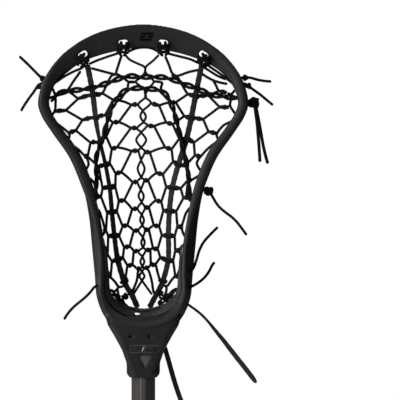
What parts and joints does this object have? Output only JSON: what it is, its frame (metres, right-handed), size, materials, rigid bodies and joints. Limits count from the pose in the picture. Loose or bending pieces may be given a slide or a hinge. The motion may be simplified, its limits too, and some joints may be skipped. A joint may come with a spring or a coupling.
{
  "type": "lacrosse stick",
  "caption": "Upright women's lacrosse stick: a moulded open head strung with a woven pocket of strings and flat thongs, on a slim octagonal metal shaft with a rubber end cap.",
  "frame": {"origin": "centre of the butt end, on the foot of the end cap, where the lower hand holds the stick", "axes": "+Z along the shaft towards the head, -Y out of the head's open face, +X to the right as that face is seen"},
  "size_m": [0.2379, 0.0608, 1.0853],
  "materials": {
    "head_nylon": "satin black moulded nylon",
    "shaft_metal": "dark anodised and painted alloy tube",
    "cap_rubber": "matt black rubber",
    "ball_stop_foam": "dense black foam",
    "string_cord": "black braided nylon string",
    "runner_thong": "dark grey flat thong",
    "screw_steel": "dark steel"
  },
  "bodies": {
    "stick": {"head_frame": "head_nylon", "ball_stop_pad": "ball_stop_foam", "head_screw": "screw_steel", "shaft": "shaft_metal", "runner_left": "runner_thong", "runner_right": "runner_thong", "centre_strings": "string_cord", "lace_inner_left": "string_cord", "lace_inner_right": "string_cord", "lace_outer_left": "string_cord", "lace_outer_right": "string_cord", "sidewall_string_left": "string_cord", "sidewall_string_right": "string_cord", "shooting_string_upper": "string_cord", "shooting_string_lower": "string_cord", "top_string": "string_cord", "bottom_string_left": "string_cord", "bottom_string_right": "string_cord", "top_knot_1": "string_cord", "top_knot_2": "string_cord", "top_knot_3": "string_cord", "top_knot_4": "string_cord", "knot_left_upper": "string_cord", "knot_left_lower": "string_cord", "knot_right_upper": "string_cord", "knot_right_lower": "string_cord", "knot_right_large": "string_cord", "knot_right_middle": "string_cord", "tail_left_upper": "string_cord", "tail_left_lower": "string_cord", "tail_right_upper": "string_cord", "tail_right_lower": "string_cord", "tail_large_front": "string_cord", "tail_large_back": "string_cord", "tail_right_middle": "string_cord", "tail_right_lower_rail": "string_cord", "tail_right_throat": "string_cord", "tail_left_throat": "string_cord", "tail_runner_right": "runner_thong", "thong_throat": "runner_thong"},
    "end_cap": {"end_cap": "cap_rubber"}
  },
  "joints": [
    {"name": "end_cap_pull", "type": "slide", "parent": "stick", "child": "end_cap", "axis": [0, 0, -1], "range_m": [0, 0.032]}
  ]
}
